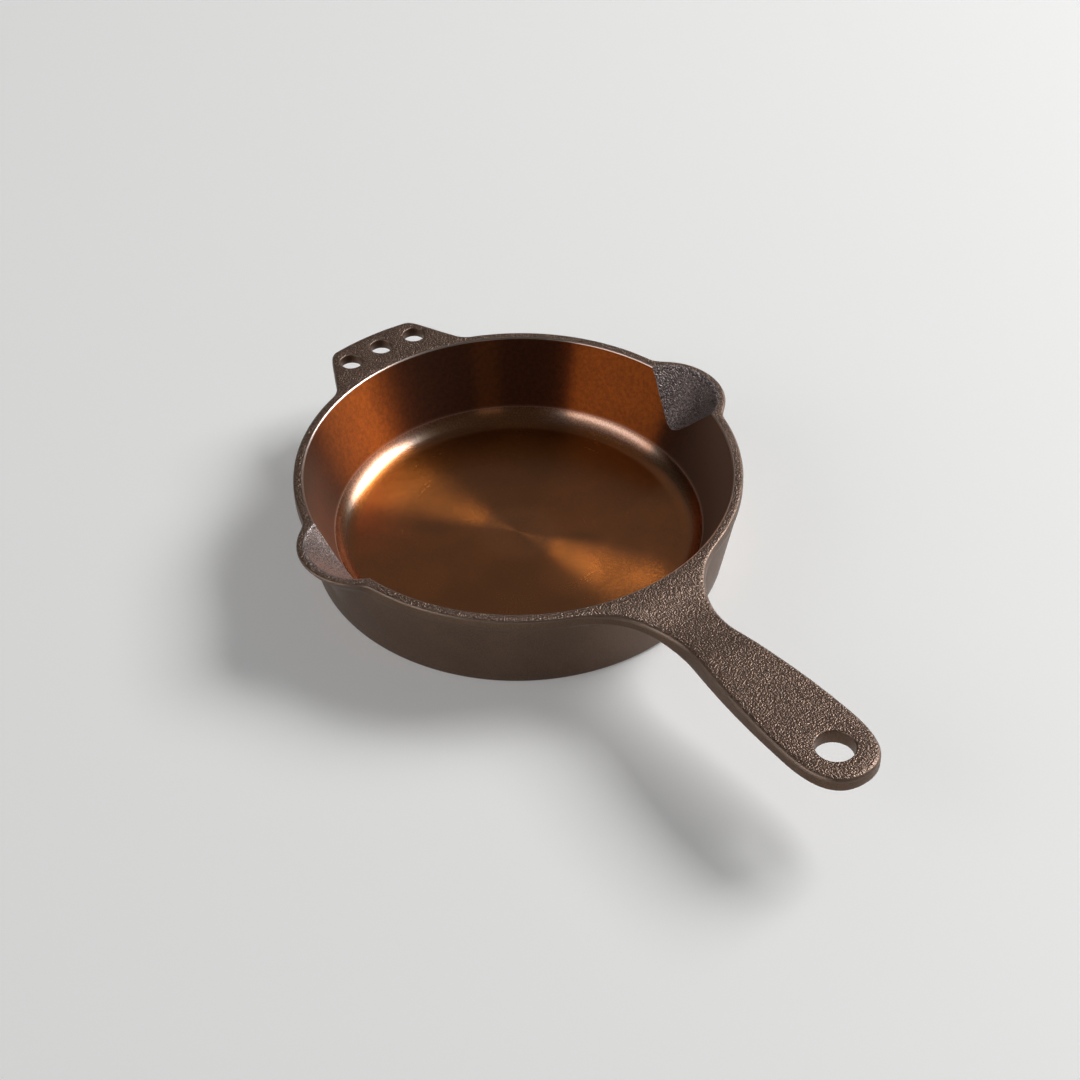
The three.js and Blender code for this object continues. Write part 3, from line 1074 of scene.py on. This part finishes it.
def roundSpot(start, place, spot):
    radius, degrees, inner, outer = spot
    middle = polar(radius * mm, math.radians(degrees), pan["floor"] * mm)
    distance = vectorMaths(start, "DISTANCE", place, middle)
    return 1 - distance.between(inner * mm, outer * mm)


def sideTowards(start, place, side):
    along = vectorMaths(start, "DOT_PRODUCT", place, polar(1, polish[side + "Towards"], 0))
    return polishBand(along, side)


def polishBand(value, name):
    return value.between(polish[name + "From"] * mm, polish[name + "To"] * mm)


def makePolishedIron(name):
    material, shader, start = startMaterial(name)
    place = start.node("ShaderNodeTexCoord", {}, {}, "Object")
    level = vectorMaths(start, "MULTIPLY", place, (1, 1, 0), output="Vector")
    radius = vectorMaths(start, "LENGTH", level)
    height = start.node("ShaderNodeSeparateXYZ", {}, {"Vector": place}, "Z")
    turned = start.node("ShaderNodeCombineXYZ", {}, {"X": radius, "Y": height})
    rings = noiseAt(start, turned, polish["ringStep"], detail=3.0, roughness=0.7)
    speck = noiseAt(start, place, polish["grain"], detail=2.0, roughness=0.6)
    patches = noiseAt(start, place, polish["patch"], detail=3.0, roughness=0.55)
    blotches = noiseAt(start, place, polish["blotch"], detail=3.0, roughness=0.65)
    pits = speck.around(polish["pitSoft"])

    # where the finishes are
    hub = polishBand(radius, "hub")
    cove = polishBand(height, "cove")
    wall = polishBand(height, "wall")
    edge = polishBand(height, "edge")
    near = sideTowards(start, place, "near")
    right = sideTowards(start, place, "right")
    pale = right * polishBand(height, "pale")
    # painted highlight: spots on the cove where its two highlights fall
    highlightSpot = sum(roundSpot(start, place, spot) for spot in polish["highlightSpots"])
    # painted highlight: a thin line along the top of the cove, where the crease would shine
    lineTop = height.between((coveTop + polish["lineWidth"]) * mm, coveTop * mm)
    line = lineTop * height.between((coveTop - polish["lineWidth"]) * mm, coveTop * mm)
    dull = wall * (1 - edge)

    # bare metal
    tone = patches.around(polish["soft"]) * polish["patchTone"]
    tone = tone + speck.around(polish["soft"]) * polish["grainTone"] + rings * polish["ringTone"]
    # painted shade: the floor's colour is darkened over parts of the reflected wedges to dim them
    for spot in polish["wedgeDimmingSpots"]:
        tone = tone * (1 - roundSpot(start, place, spot))
    # painted highlight: the floor's colour is lightened where the reflected wedge is drawn out
    for spot in polish["wedgeBrighteningSpots"]:
        tone = tone + polish["wedgeBrighteningShare"] * roundSpot(start, place, spot)
    floorColour = blendColours(start, tone, polish["floorDark"], polish["floorLight"])
    # painted shade: the cove's metal is made darker on the near side to dim its reflections
    coveColourAndShade = blendColours(start, near * (1 - right), polish["cove"], polish["nearCoveShade"])
    floorColour = blendColours(start, cove, floorColour, coveColourAndShade)
    wallTone = blotches.around(polish["soft"]) * polish["blotchTone"]
    wallTone = wallTone + speck.around(polish["wallSoft"]) * polish["wallGrainTone"]
    wallColour = blendColours(start, wallTone, polish["wallDark"], polish["wallLight"])
    gloss = mix(polish["glossy"], polish["matt"], pits)
    gloss = mix(polish["hubGloss"], gloss, hub)
    gloss = mix(gloss, polish["wall"], wall)
    normal = bumped(start, speck * (1 - (1 - polish["wallGrain"]) * wall), polish["grainDepth"])
    connect(
        shader,
        Base_Color=blendColours(start, wall, floorColour, wallColour),
        Roughness=gloss + polish["uneven"] * (rings + patches - 1),
        Metallic=1.0,
        Anisotropic=polish["anisotropy"],
        Anisotropic_Rotation=polish["turnAcross"],
        Normal=normal,
    )

    # oil and haze over it
    film = mix(polish["filmHub"], polish["filmFloor"], hub)
    # the film is made stronger at the painted highlight spots
    coveShare = polish["filmCove"] + polish["highlightSpotShare"] * highlightSpot
    broken = 1 - polish["filmUneven"] / 2 + polish["filmUneven"] * pits
    film = film + (coveShare * broken - polish["filmFloor"]) * cove
    haze = mix(polish["hazeWall"], polish["hazeNear"], near) + polish["hazeRight"] * right
    # the painted highlight line is laid on as a dull pale film
    ringHighlight = mix(polish["lineShare"], polish["lineNear"], near)
    film = film * (1 - wall) + haze * dull + polish["filmEdge"] * edge + ringHighlight * line
    veil = blendColours(start, cove, polish["film"], polish["coveFilm"])
    veil = blendColours(start, highlightSpot * cove + edge, veil, polish["edgeAndHighlightFilm"])
    hazeColour = blendColours(start, pale, polish["haze"], polish["hazePale"])
    veil = blendColours(start, dull, veil, hazeColour)
    oil = {
        "Base Color": blendColours(start, line, veil, polish["line"]),
        "Roughness": polish["filmRoughness"] + polish["filmSpread"] * cove,
        "Metallic": 1 - dull,
        "Specular IOR Level": 0.0,
        "Anisotropic": polish["filmAnisotropy"],
        "Anisotropic Rotation": polish["turnAcross"],
        "Normal": normal,
    }
    layOver(start, shader, film, start.node("ShaderNodeBsdfPrincipled", {}, oil))
    return material


print("skillet: materials")
topGrain = castIron["peak"], castIron["grainDepth"], castIron["soft"]
channelGrain = castIron["channel"], castIron["channelDepth"], castIron["channelSoft"]
finishes = [  # in the order of the material slots
    makeRoughIron("rough cast iron", *topGrain, fades=True),
    makeSatinIron("satin cast iron"),
    makePolishedIron("turned and polished iron"),
    makeRoughIron("rough channel iron", *channelGrain, fades=False),
]
for piece in (panPiece, handlePiece, helperPiece):
    for material in finishes:
        piece.data.materials.append(material)

# Studio: floor, lights and camera
studio = {
    "floorSize": 30.0,
    "floorColour": (0.8, 0.8, 0.79, 1),
    "floorRoughness": 0.6,
    "floorGlow": 0.185,  # lifts the shadows
    "farFrom": 0.5,  # distances between which the floor passes into the even tone of the backdrop
    "farTo": 1.5,
    "backdrop": 14.0,  # distance of the backdrop, which only the camera sees
    "backdropGlow": 0.72,
    "worldColour": (1.0, 1.0, 1.0, 1),
    "worldStrength": 0.085,
    "distance": 2.5,  # of the soft boxes
}
# azimuth, elevation, half angles across and up in degrees, brightness, seen by diffuse, by glossy
softBoxes = {
    "key": (82.7, 38.5, 14, 12.4, 12.6, True, False),
    "strip": (74, 40, 18.5, 12, 20.0, False, True),
    "fill": (258, 32, 24, 14, 0.93, True, False),
    "low strip": (266, 19.5, 27, 11, 4.5, False, True),
    "back panel": (145, 42, 40, 20, 0.15, False, True),
    "front card": (341, 17, 6.5, 6, 0.75, False, True),
}

bpy.ops.mesh.primitive_plane_add(size=studio["floorSize"])
floor = bpy.context.object
floor.name = "studio_floor"
floorMaterial, floorShader, floorStart = startMaterial("studio floor")
floorPlace = floorStart.node("ShaderNodeTexCoord", {}, {}, "Object")
far = vectorMaths(floorStart, "LENGTH", floorPlace).between(studio["farFrom"], studio["farTo"])
nearGlow = (studio["floorGlow"],) * 3 + (1,)
backdropGlow = (studio["backdropGlow"],) * 3 + (1,)
connect(
    floorShader,
    Base_Color=studio["floorColour"],
    Roughness=studio["floorRoughness"],
    Emission_Color=nearGlow,
    Emission_Strength=1.0,
)
farFloor = floorStart.node("ShaderNodeEmission", {}, {"Color": backdropGlow})
layOver(floorStart, floorShader, far, farFloor)
floor.data.materials.append(floorMaterial)

bpy.ops.mesh.primitive_uv_sphere_add(radius=studio["backdrop"], segments=64, ring_count=32)
backdrop = bpy.context.object
backdrop.name = "studio_backdrop"
backdropMaterial, backdropShader, _ = startMaterial("studio backdrop")
connect(
    backdropShader,
    Base_Color=(0, 0, 0, 1),
    Roughness=1.0,
    Emission_Color=backdropGlow,
    Emission_Strength=1.0,
)
backdrop.data.materials.append(backdropMaterial)
backdrop.visible_diffuse = False
backdrop.visible_glossy = False
backdrop.visible_shadow = False

for name, (azimuth, elevation, halfAcross, halfUp, brightness, diffuse, glossy) in softBoxes.items():
    box = bpy.data.lights.new(name, "AREA")
    box.shape = "RECTANGLE"
    box.size = 2 * studio["distance"] * math.tan(math.radians(halfAcross))
    box.size_y = 2 * studio["distance"] * math.tan(math.radians(halfUp))
    box.energy = brightness * math.pi * box.size * box.size_y
    lamp = bpy.data.objects.new(name, box)
    bpy.context.collection.objects.link(lamp)
    level = math.cos(math.radians(elevation))
    towards = Vector(polar(level, math.radians(azimuth), math.sin(math.radians(elevation))))
    lamp.location = towards * studio["distance"]
    lamp.rotation_euler = towards.to_track_quat("Z", "Y").to_euler()
    lamp.visible_diffuse = diffuse
    lamp.visible_glossy = glossy

world = bpy.data.worlds.new("studio")
bpy.context.scene.world = world
world.use_nodes = True
background = world.node_tree.nodes["Background"]
background.inputs["Color"].default_value = studio["worldColour"]
background.inputs["Strength"].default_value = studio["worldStrength"]

camera = {
    "azimuth": math.radians(54.69),
    "elevation": math.radians(41.567),
    "roll": math.radians(-0.838),
    "distance": 0.90888,
    "lens": 79.95,
    "sensor": 36.0,
    "shift": (0.01933, -0.00119),
}

azimuth, elevation = camera["azimuth"], camera["elevation"]
level = math.cos(elevation)
back = Vector((math.sin(azimuth) * level, -math.cos(azimuth) * level, math.sin(elevation)))
right = Vector((math.cos(azimuth), math.sin(azimuth), 0))
up = back.cross(right)
turn = camera["roll"]
rolledRight = right * math.cos(turn) + up * math.sin(turn)
rolledUp = up * math.cos(turn) - right * math.sin(turn)
cameraData = bpy.data.cameras.new("photo camera")
cameraData.lens = camera["lens"]
cameraData.sensor_width = camera["sensor"]
cameraData.shift_x, cameraData.shift_y = camera["shift"]
cameraObject = bpy.data.objects.new("photo camera", cameraData)
bpy.context.collection.objects.link(cameraObject)
aim = Matrix((rolledRight, rolledUp, back)).transposed().to_4x4()
cameraObject.matrix_world = Matrix.Translation(back * camera["distance"]) @ aim
bpy.context.scene.camera = cameraObject
bpy.context.scene.view_settings.view_transform = "Standard"
